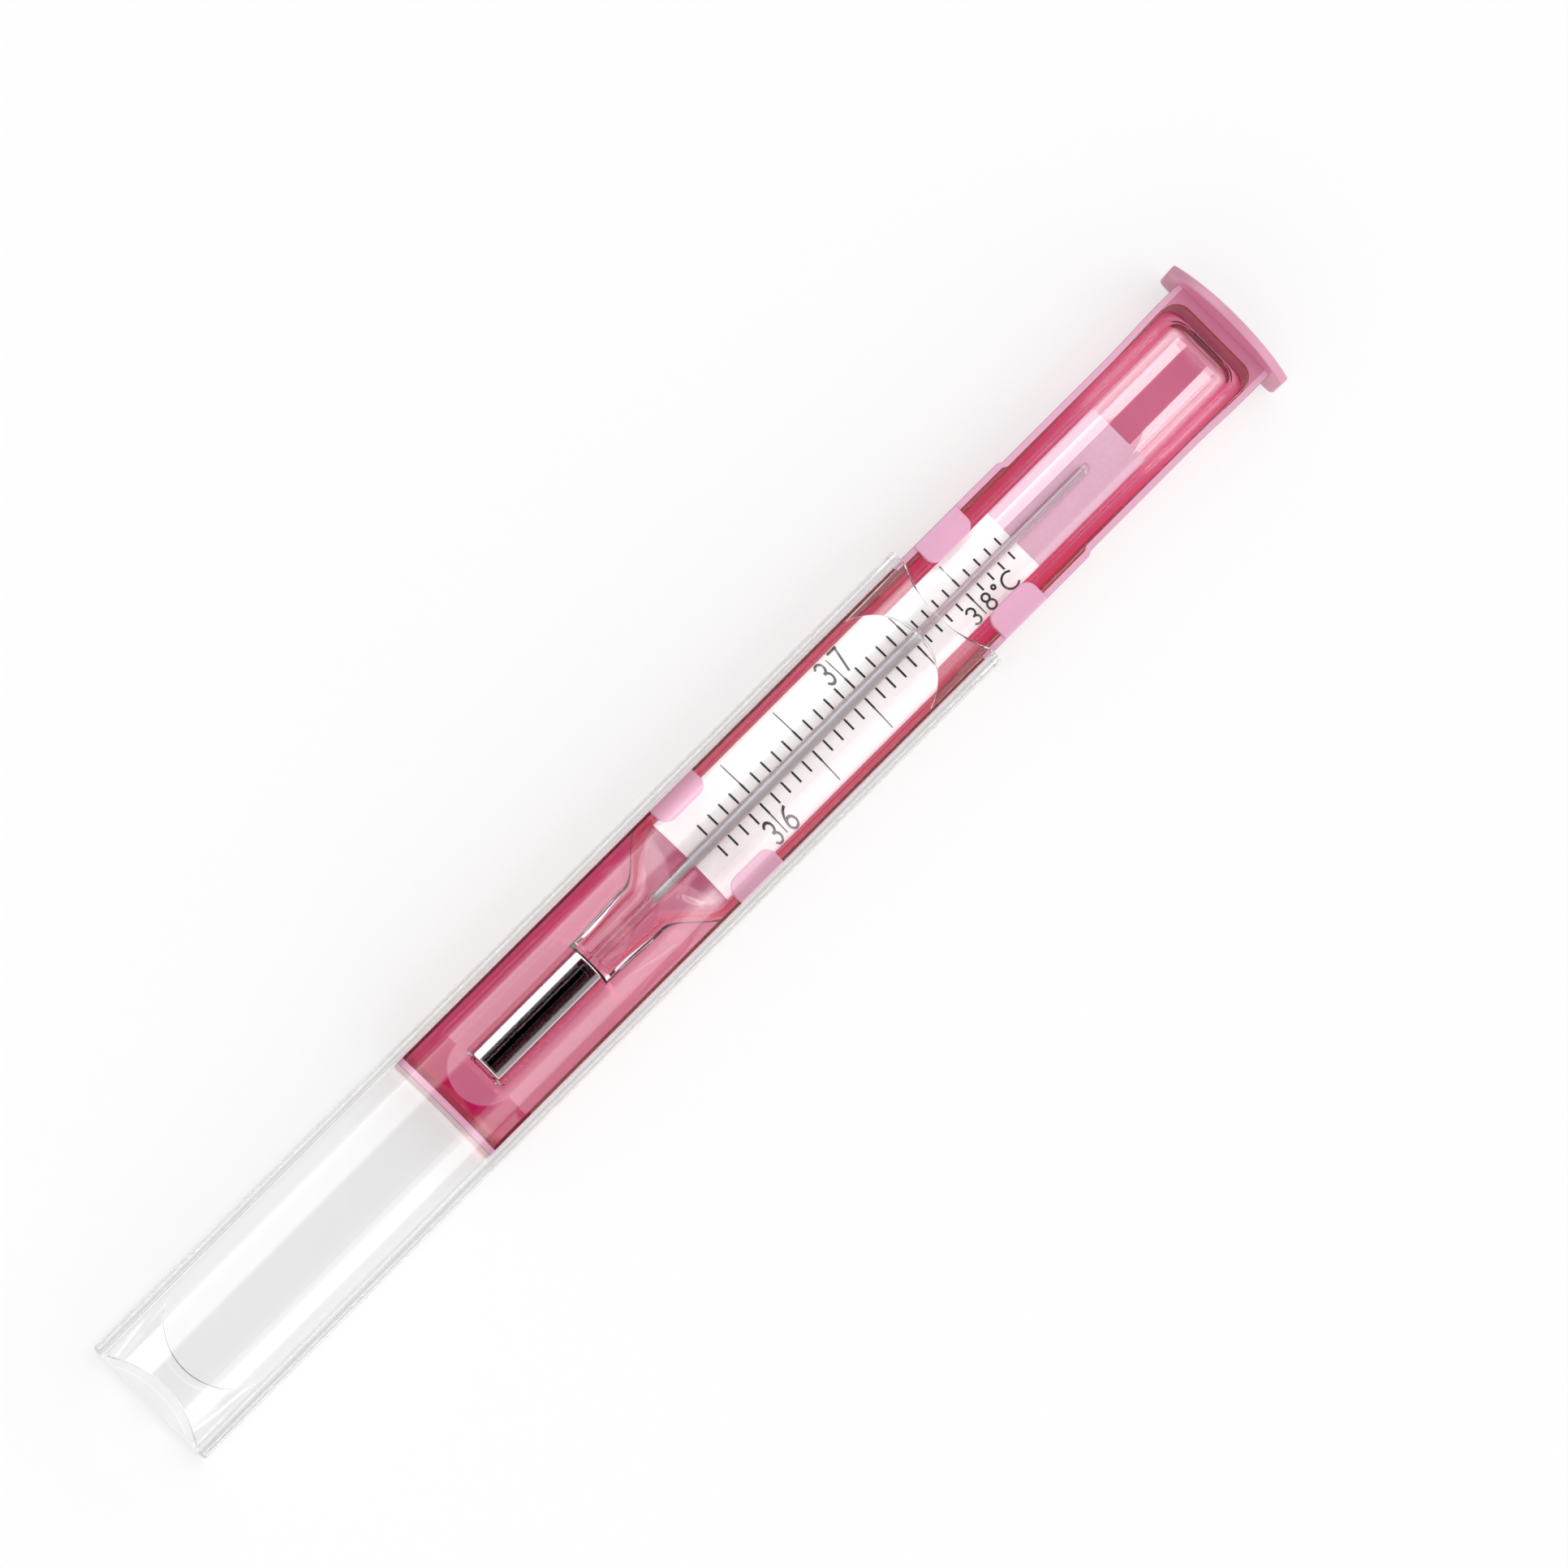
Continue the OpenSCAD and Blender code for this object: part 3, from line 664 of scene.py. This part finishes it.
# Grey-lilac painted on the bore's surface as the silvery reflection of the empty capillary.
bore_painted_grey = (0.62, 0.53, 0.58)
bore_gloss = 0.35
bore_smudges = 0.1
bore_grain = 900
bore_wave = 0.0001 * mm
bore_clearness = 0.3


def oval(x, half_w, half_t, mid_z, power):
    """A ring of the blown glass: an oval round a middle height."""
    ring = []
    for i in range(glass_sides):
        c = math.cos(2 * math.pi * i / glass_sides)
        s = math.sin(2 * math.pi * i / glass_sides)
        y = half_w * math.copysign(abs(c) ** (2 / power), c)
        z = half_t * math.copysign(abs(s) ** (2 / power), s)
        ring.append((x, y, mid_z + z))
    return ring


def sheath_rings(wall):
    """The sheath from the bulb to the dome, moved in by a wall."""
    low_r = bulb_r - wall
    neck_r = low_r + neck_swell
    neck_w = neck_r * bulb_spread
    body_w, body_t = glass_half_w - wall, glass_half_t - wall
    top_r = dome_r - wall
    shoulder_x = bulb_high.x + neck_l
    rings = []
    for t in between(0, 1, neck_steps):
        r = low_r + neck_swell * smooth(t)
        flat = bulb_flat + (1 - bulb_flat) * smooth(t)
        rings.append(oval(bulb_high.x + neck_blend * neck_l * t, r * bulb_spread, r * flat, axis_z, 2))
    for t in between(0, 1, shoulder_steps):
        s = smooth(t)
        rings.append(oval(
            shoulder_x + shoulder_l * t, neck_w + (body_w - neck_w) * s, neck_r + (body_t - neck_r) * s,
            axis_z + (glass_mid_z - axis_z) * s, 2 + (oval_power - 2) * s))
    dome_x = sheath_high.x - dome_r
    for x in between(shoulder_x + shoulder_l + straight_l, dome_x - straight_l, long_steps):
        rings.append(oval(x, body_w, body_t, glass_mid_z, oval_power))
    for a in between(0, math.pi / 2, dome_steps):
        inset = top_r * (1 - math.cos(a))
        x = dome_x + top_r * math.sin(a)
        rings.append(oval(x, body_w - inset, body_t - inset, glass_mid_z, oval_power))
    return rings


def turned(profile, spread=1, flat=1):
    """Rings round the capillary's axis, from their places and radii, and how wide and how flat they are."""
    return [oval(x, r * spread, r * flat, axis_z, 2) for x, r in profile]


def low_edge(x, r, edge, steps):
    """Places and radii of the round edge where a turned piece of that radius begins."""
    angles = between(math.pi / 2, 0, steps)
    return [(x + edge * (1 - math.sin(a)), r - edge * (1 - math.cos(a))) for a in angles]


def high_edge(x, r, edge, steps):
    """Places and radii of the round edge where a turned piece of that radius ends."""
    angles = between(0, math.pi / 2, steps)
    return [(x - edge * (1 - math.sin(a)), r - edge * (1 - math.cos(a))) for a in angles]


def round_tip(x, r, steps, start=0, end=0.48):
    """Places and radii of a half-round tip, between two shares of half a turn."""
    angles = between(start * math.pi, end * math.pi, steps)
    return [(x - r + r * math.sin(a), r * math.cos(a)) for a in angles]


def shell(rings):
    """Faces of a closed skin over a row of rings, looking outward if the rings run along +X."""
    ends = [rings[0], rings[-1][::-1]]
    return [face[::-1] for face in strips(rings, True)] + ends


def hollow_of_sheath():
    """The air between the sheath and the rod, as a skin that looks into the glass."""
    inner = sheath_rings(glass_wall)
    rod = turned(
        [(x, rod_r) for x in between(bulb_high.x, rod_high.x - rod_r - straight_l, long_steps)]
        + round_tip(rod_high.x, rod_r, rod_tip_steps, end=0.49))
    floor = strips([rod[0], inner[0]], True)
    return (
        [face[::-1] for face in strips(inner, True)] + [inner[-1][::-1]]
        + strips(rod, True) + [rod[-1]] + [face[::-1] for face in floor])


def bulb_hollow():
    """The space for the metal: the bulb's inside and the bore up to its sealed tip."""
    r = bulb_r - bulb_wall
    low = bulb_low.x + bulb_tip_wall
    top = bulb_high.x - bulb_top_wall
    bore_top = rod_high.x - rod_seal
    profile = low_edge(low, r, hollow_edge_r, edge_steps)
    profile += [(low + hollow_edge_r + straight_l, r), (top - hollow_shoulder - straight_l, r)]
    profile += high_edge(top, r, hollow_shoulder, edge_steps)
    bore = [(x, bore_r) for x in between(top, bore_top - bore_r - straight_l, long_steps)]
    bore += round_tip(bore_top, bore_r, tip_steps)
    return turned(profile, bulb_spread, bulb_flat) + turned(bore)


bulb_outside = turned(
    low_edge(bulb_low.x, bulb_r, bulb_edge_r, outer_edge_steps)
    + [(bulb_low.x + bulb_edge_r + straight_l, bulb_r), (bulb_high.x - bulb_top_wall, bulb_r)],
    bulb_spread, bulb_flat)
glass_faces = shell(bulb_outside + sheath_rings(0))
glass_faces += [face[::-1] for face in hollow_of_sheath()]
glass_faces += [face[::-1] for face in shell(bulb_hollow())]
glass = piece("thermometer_glass", welded(glass_faces), glass_smooth)
clear_glass = clear("clear_glass", glass_ior, glass_smudges, glass_grain, glass_wave)[0]
# The bore's surface is painted grey-lilac and partly matt: a painted reflection of the empty capillary's
# silvery look.
bore_painted_reflection, bore_shader = polished("bore_painted_reflection", bore_gloss, bore_smudges, bore_grain, bore_wave)
bore_shader.inputs["Base Color"].default_value = bore_painted_grey + (1,)
bore_shader.inputs["Transmission Weight"].default_value = bore_clearness
bore_shader.inputs["IOR"].default_value = glass_ior
glass.data.materials.append(clear_glass)
glass.data.materials.append(bore_painted_reflection)
for face in glass.data.polygons:
    from_axis = math.hypot(face.center.y, face.center.z - axis_z)
    face.material_index = 1 if from_axis < bore_reach and face.center.x > thread_low.x else 0
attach(glass, "carrier")
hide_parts("sheath_glass", "bulb_glass", "capillary_tube")

# Liquid metal: the reservoir in the bulb and the thread in the bore are one mirror-bright liquid,
# held by the glass alone. The thread's lower end stands over the constriction, and its round upper
# end is the reading. It stretches from its lower end.
metal_low, metal_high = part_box("reservoir_metal")
metal_gap = 0.02 * mm
wetting = 0.01 * mm
metal_r = bulb_r - bulb_wall - metal_gap
metal_smooth = 40
metal_steps = 12
metal_colour = (0.86, 0.87, 0.88)
metal_smudges = 0.004
metal_grain = 300
metal_wave = 0.00002 * mm
pin_low, pin_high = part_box("constriction_pin")
pin_r = (pin_high.z - pin_low.z) / 2
thread_r = bore_r + wetting
thread_steps = 160
tip_smooth = 60
# The thread is painted a duller grey than the reservoir, as shade for how dim the thin thread looks in its
# bore.
thread_painted_grey = (0.55, 0.56, 0.58)
thread_gloss = 0.38
thread_smudges = 0.05
thread_metallic = 0.5

reservoir_profile = low_edge(metal_low.x, metal_r, hollow_edge_r, edge_steps)
reservoir_profile += [
    (metal_low.x + hollow_edge_r + straight_l, metal_r),
    (metal_high.x - hollow_shoulder - straight_l, metal_r)]
reservoir_profile += high_edge(metal_high.x, metal_r, hollow_shoulder, metal_steps)
pin_hole = [(metal_high.x, pin_r + metal_gap), (metal_low.x, pin_r + metal_gap)]
reservoir_rings = turned(reservoir_profile, bulb_spread, bulb_flat) + turned(pin_hole)
reservoir_faces = [face[::-1] for face in strips(reservoir_rings + reservoir_rings[:1], True)]
reservoir = piece("reservoir", welded(reservoir_faces), metal_smooth)

thread_profile = [(x, thread_r) for x in between(thread_low.x, thread_high.x - thread_r, thread_steps)]
thread_profile += round_tip(thread_high.x, thread_r, tip_steps, start=0.05)
thread = piece("metal_column", welded(shell(turned(thread_profile))), tip_smooth)

liquid_metal, metal_shader = polished("liquid_metal", 0.0, metal_smudges, metal_grain, metal_wave)
metal_shader.inputs["Base Color"].default_value = metal_colour + (1,)
metal_shader.inputs["Metallic"].default_value = 1
reservoir.data.materials.append(liquid_metal)
# The thread gets a darker, half-metal copy of the liquid metal: painted grey shade.
thread_shaded_metal, thread_shader = polished("thread_shaded_metal", thread_gloss, thread_smudges, bore_grain, bore_wave)
thread_shader.inputs["Base Color"].default_value = thread_painted_grey + (1,)
thread_shader.inputs["Metallic"].default_value = thread_metallic
thread.data.materials.append(thread_shaded_metal)
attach(reservoir, "carrier")
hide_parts("reservoir_metal")
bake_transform(thread)
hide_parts("metal_thread")

# Constriction pin: a fine glass pin, fused to the bulb's bottom, that narrows the bore above the bulb.
# The thread breaks there on cooling, and so keeps its highest reading.
pin_rings = turned([(pin_low.x, pin_r)] + round_tip(pin_high.x, pin_r, tip_steps))
pin = piece("glass_pin", welded(shell(pin_rings)), tip_smooth)
pin.data.materials.append(clear_glass)
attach(pin, "carrier")
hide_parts("constriction_pin")

# Scale strip: a thin white plate that the oval tube holds behind the capillary.
# The marks and numerals are printed on it in dark ink, and its upper end is printed pink.
plate_low, plate_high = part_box("scale_plate")
plate_edge_r = 0.05 * mm
print_grain = 0.004 * mm


def printed(name, colour, spread, roughness, grain):
    """A matt printed surface: its colour varies a little in fine grains."""
    material = bpy.data.materials.new(name)
    material.use_nodes = True
    nodes, links = material.node_tree.nodes, material.node_tree.links
    shader = nodes["Principled BSDF"]
    place = nodes.new("ShaderNodeTexCoord")
    noise = nodes.new("ShaderNodeTexNoise")
    noise.inputs["Scale"].default_value = grain
    noise.inputs["Detail"].default_value = 4
    links.new(place.outputs["Object"], noise.inputs["Vector"])
    ramp = nodes.new("ShaderNodeValToRGB")
    ramp.color_ramp.elements[0].position = 0.3
    ramp.color_ramp.elements[1].position = 0.7
    ramp.color_ramp.elements[0].color = tuple(c * (1 - spread) for c in colour) + (1,)
    ramp.color_ramp.elements[1].color = tuple(min(c * (1 + spread), 1) for c in colour) + (1,)
    links.new(noise.outputs["Fac"], ramp.inputs["Fac"])
    links.new(ramp.outputs["Color"], shader.inputs["Base Color"])
    shader.inputs["Roughness"].default_value = roughness
    bump = nodes.new("ShaderNodeBump")
    bump.inputs["Distance"].default_value = print_grain
    links.new(noise.outputs["Fac"], bump.inputs["Height"])
    links.new(bump.outputs["Normal"], shader.inputs["Normal"])
    return material


white_strip = printed("white_strip", (0.96, 0.955, 0.945), spread=0.015, roughness=0.5, grain=1500)
pink_print = printed("pink_print", (0.66, 0.4, 0.52), spread=0.04, roughness=0.5, grain=2200)
dark_print = printed("dark_print", (0.02, 0.02, 0.022), spread=0.3, roughness=0.55, grain=3000)
strip_outline = [
    (plate_low.x, plate_low.y), (plate_high.x, plate_low.y), (plate_high.x, plate_high.y),
    (plate_low.x, plate_high.y)]
strip = piece("scale_strip", solid(slab(strip_outline, plate_low.z, plate_high.z), plate_edge_r))
strip.data.materials.append(white_strip)
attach(strip, "carrier")
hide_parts("scale_plate")
for node, material in (
        ("colour_field", pink_print), ("short_marks_left", dark_print), ("short_marks_right", dark_print),
        ("long_marks_left", dark_print), ("long_marks_right", dark_print), ("numerals", dark_print),
        ("unit_mark", dark_print)):
    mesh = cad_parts[node].data
    mesh.materials.clear()
    mesh.materials.append(material)

# Floor and light: a white table in a white studio. A dark gap overhead, where the camera looks in, gives
# the metal its black stripe, and two soft boxes beside it give the clear pieces their long bright bands.
floor_half = 3.0
floor_z = -0.05 * mm
floor_white = 0.82
floor_corners = ((-1, -1), (1, -1), (1, 1), (-1, 1))
floor = piece("floor", welded([[(x * floor_half, y * floor_half, floor_z) for x, y in floor_corners]]))
floor_paint = bpy.data.materials.new("floor_paint")
floor_paint.use_nodes = True
nodes, links = floor_paint.node_tree.nodes, floor_paint.node_tree.links
matt = nodes["Principled BSDF"]
matt.inputs["Base Color"].default_value = (floor_white, floor_white, floor_white, 1)
matt.inputs["Roughness"].default_value = 1
matt.inputs["Specular IOR Level"].default_value = 0
white = nodes.new("ShaderNodeEmission")
path = nodes.new("ShaderNodeLightPath")


def seen_rays(tree, path):
    """1 on rays that the camera follows through glass and off mirrors, 0 on rays that light matt things."""
    seen = math_node(tree, "MAXIMUM", path.outputs["Is Camera Ray"], path.outputs["Is Glossy Ray"])
    seen = math_node(tree, "MAXIMUM", seen, path.outputs["Is Transmission Ray"])
    unspread = math_node(tree, "LESS_THAN", path.outputs["Diffuse Depth"], 0.5)
    return math_node(tree, "MULTIPLY", seen, unspread)


shadow_lift = 0.62
lift = math_node(floor_paint.node_tree, "MULTIPLY", seen_rays(floor_paint.node_tree, path), shadow_lift)
mix = nodes.new("ShaderNodeMixShader")
links.new(lift, mix.inputs["Fac"])
links.new(matt.outputs["BSDF"], mix.inputs[1])
links.new(white.outputs["Emission"], mix.inputs[2])
links.new(mix.outputs["Shader"], nodes["Material Output"].inputs["Surface"])
floor.data.materials.append(floor_paint)

# Mirrors and glass see a room with the gap and the soft boxes in it, and a soft dome lights matt things.
# The steps hold an angle from overhead towards +Y in degrees, and the light that comes from there.
world = bpy.data.worlds.new("studio")
bpy.context.scene.world = world
world.use_nodes = True
tree = world.node_tree
nodes, links = tree.nodes, tree.links
background = nodes["Background"]
background.inputs["Color"].default_value = (1, 1, 1, 1)
path = nodes.new("ShaderNodeLightPath")
direction = nodes.new("ShaderNodeTexCoord")
parts = nodes.new("ShaderNodeSeparateXYZ")
links.new(direction.outputs["Generated"], parts.inputs["Vector"])
lean = math_node(tree, "ARCTAN2", parts.outputs["Y"], parts.outputs["Z"])
lean = math_node(tree, "MULTIPLY", lean, 180 / math.pi)
levels = nodes.new("ShaderNodeValToRGB")
levels.color_ramp.interpolation = "LINEAR"
light_steps = (
    (-100, 0.35), (-84, 0.4), (-66, 0.5), (-62, 1.8), (-37, 1.8), (-35, 0.4), (-29, 0.3), (-27, 0.0),
    (21, 0.0), (22, 0.3), (24, 1.0), (27, 3.2), (59, 3.2), (61, 0.22), (84, 0.22), (100, 0.3))
most_light = 6.0
most_lean = 100
while len(levels.color_ramp.elements) < len(light_steps):
    levels.color_ramp.elements.new(0.5)
for element, (angle, light) in zip(levels.color_ramp.elements, light_steps):
    element.position = (angle + most_lean) / (2 * most_lean)
    element.color = (light / most_light, light / most_light, light / most_light, 1)
turned_to = math_node(tree, "ADD", math_node(tree, "DIVIDE", lean, 2 * most_lean), 0.5)
links.new(turned_to, levels.inputs["Fac"])
room = math_node(tree, "MULTIPLY", levels.outputs["Color"], most_light)

# Along the case the gap is short, and the room is white past both its ends.
gap_low, gap_high = -0.02, 0.25
over_low = math_node(tree, "LESS_THAN", parts.outputs["X"], gap_low)
over_high = math_node(tree, "GREATER_THAN", parts.outputs["X"], gap_high)
room = math_node(tree, "MAXIMUM", room, math_node(tree, "ADD", over_low, over_high))
shown = math_node(tree, "MAXIMUM", room, path.outputs["Is Camera Ray"])
studio_light = 1.2
side_light = -0.6
dome = math_node(tree, "MULTIPLY", parts.outputs["Y"], side_light)
dome = math_node(tree, "MULTIPLY", dome, studio_light)
dome = math_node(tree, "ADD", dome, studio_light)
gap = math_node(tree, "SUBTRACT", shown, dome)
level = math_node(tree, "ADD", math_node(tree, "MULTIPLY", gap, seen_rays(tree, path)), dome)
links.new(level, background.inputs["Strength"])

# Two strips of light over the flange's end, each between two corners, shine on gloss and through glass.
lamp_z = 207 * mm
lamp_light = 4.0
for name, low, high in (
        ("left_strip", (108 * mm, 41 * mm), (172 * mm, 123 * mm)),
        ("right_strip", (143 * mm, -96 * mm), (172 * mm, -41 * mm))):
    lamp_data = bpy.data.lights.new(name, "AREA")
    lamp_data.shape = "RECTANGLE"
    lamp_data.size = high[0] - low[0]
    lamp_data.size_y = high[1] - low[1]
    lamp_data.energy = lamp_light * math.pi * lamp_data.size * lamp_data.size_y
    lamp = bpy.data.objects.new(name, lamp_data)
    lamp.location = ((low[0] + high[0]) / 2, (low[1] + high[1]) / 2, lamp_z)
    lamp.visible_camera = False
    lamp.visible_diffuse = False
    bpy.context.scene.collection.objects.link(lamp)

# Camera: it looks almost straight down on the case and a little towards the flange, from a metre away.
photo_side = 1932
pixel = 0.0963 * mm
camera_distance = 1012 * mm
camera_lean = math.radians(8.9)
camera_target = Vector((38.2, -1.27, 4.0)) * mm
look = Vector((math.sin(camera_lean), 0, -math.cos(camera_lean)))
along = Vector((math.cos(camera_lean), 0, math.sin(camera_lean)))
across = Vector((0, 1, 0))
camera_data = bpy.data.cameras.new("camera")
camera_data.sensor_width = 36
camera_data.lens = camera_data.sensor_width * camera_distance / (pixel * photo_side)
camera = bpy.data.objects.new("camera", camera_data)
bpy.context.scene.collection.objects.link(camera)
right = (along - across).normalized()
up = (along + across).normalized()
turn = Matrix((right, up, -look)).transposed()
camera.matrix_world = Matrix.Translation(camera_target - look * camera_distance) @ turn.to_4x4()
camera_data.clip_end = 20
scene = bpy.context.scene
scene.camera = camera
scene.view_settings.view_transform = "Standard"
scene.cycles.max_bounces = 32
scene.cycles.transmission_bounces = 32
scene.cycles.glossy_bounces = 16
scene.cycles.blur_glossy = 0
